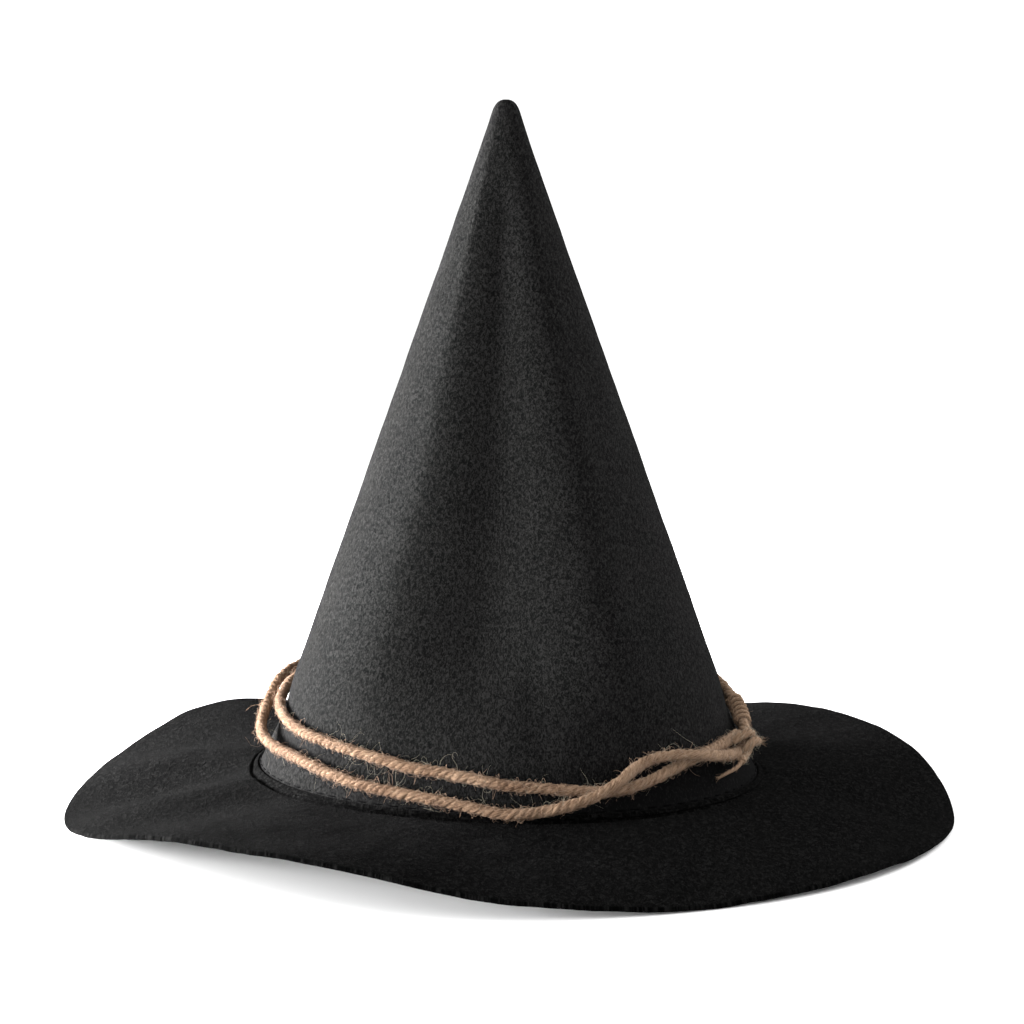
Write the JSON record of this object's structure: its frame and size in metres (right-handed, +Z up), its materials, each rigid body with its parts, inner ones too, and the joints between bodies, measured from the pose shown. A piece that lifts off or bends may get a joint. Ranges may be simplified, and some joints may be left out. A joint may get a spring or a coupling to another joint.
{
  "type": "witch hat",
  "caption": "Tall cone-shaped felt hat with a wide wavy brim, sweatband inside, and jute twine wound twice round the foot of the crown and knotted.",
  "frame": {"origin": "centre of the head opening, at the level of the seam between crown and brim", "axes": "+Z up along the crown's axis, -Y the front of the hat, +X the right as seen from the front"},
  "size_m": [0.3458, 0.3466, 0.2781],
  "materials": {
    "felt": "brushed black felt, short nap",
    "ribbon": "black ribbed ribbon",
    "label": "blank woven label",
    "thread": "black sewing thread",
    "jute": "three-ply jute twine, fuzzy"
  },
  "bodies": {
    "hat": {"crown": "felt", "brim": "felt", "seam_welt": "felt", "sweatband": "ribbon", "care_label": "label", "base_stitches": "thread", "sweatband_stitches": "thread", "back_seam_stitches": "thread"},
    "twine": {"twine_band": "jute", "twine_knot": "jute", "twine_tail_front": "jute", "twine_tail_rear": "jute"}
  },
  "joints": [
    {"name": "band_lift", "type": "slide", "parent": "hat", "child": "twine", "axis": [0, 0, 1], "range_m": [0, 0.265]}
  ]
}
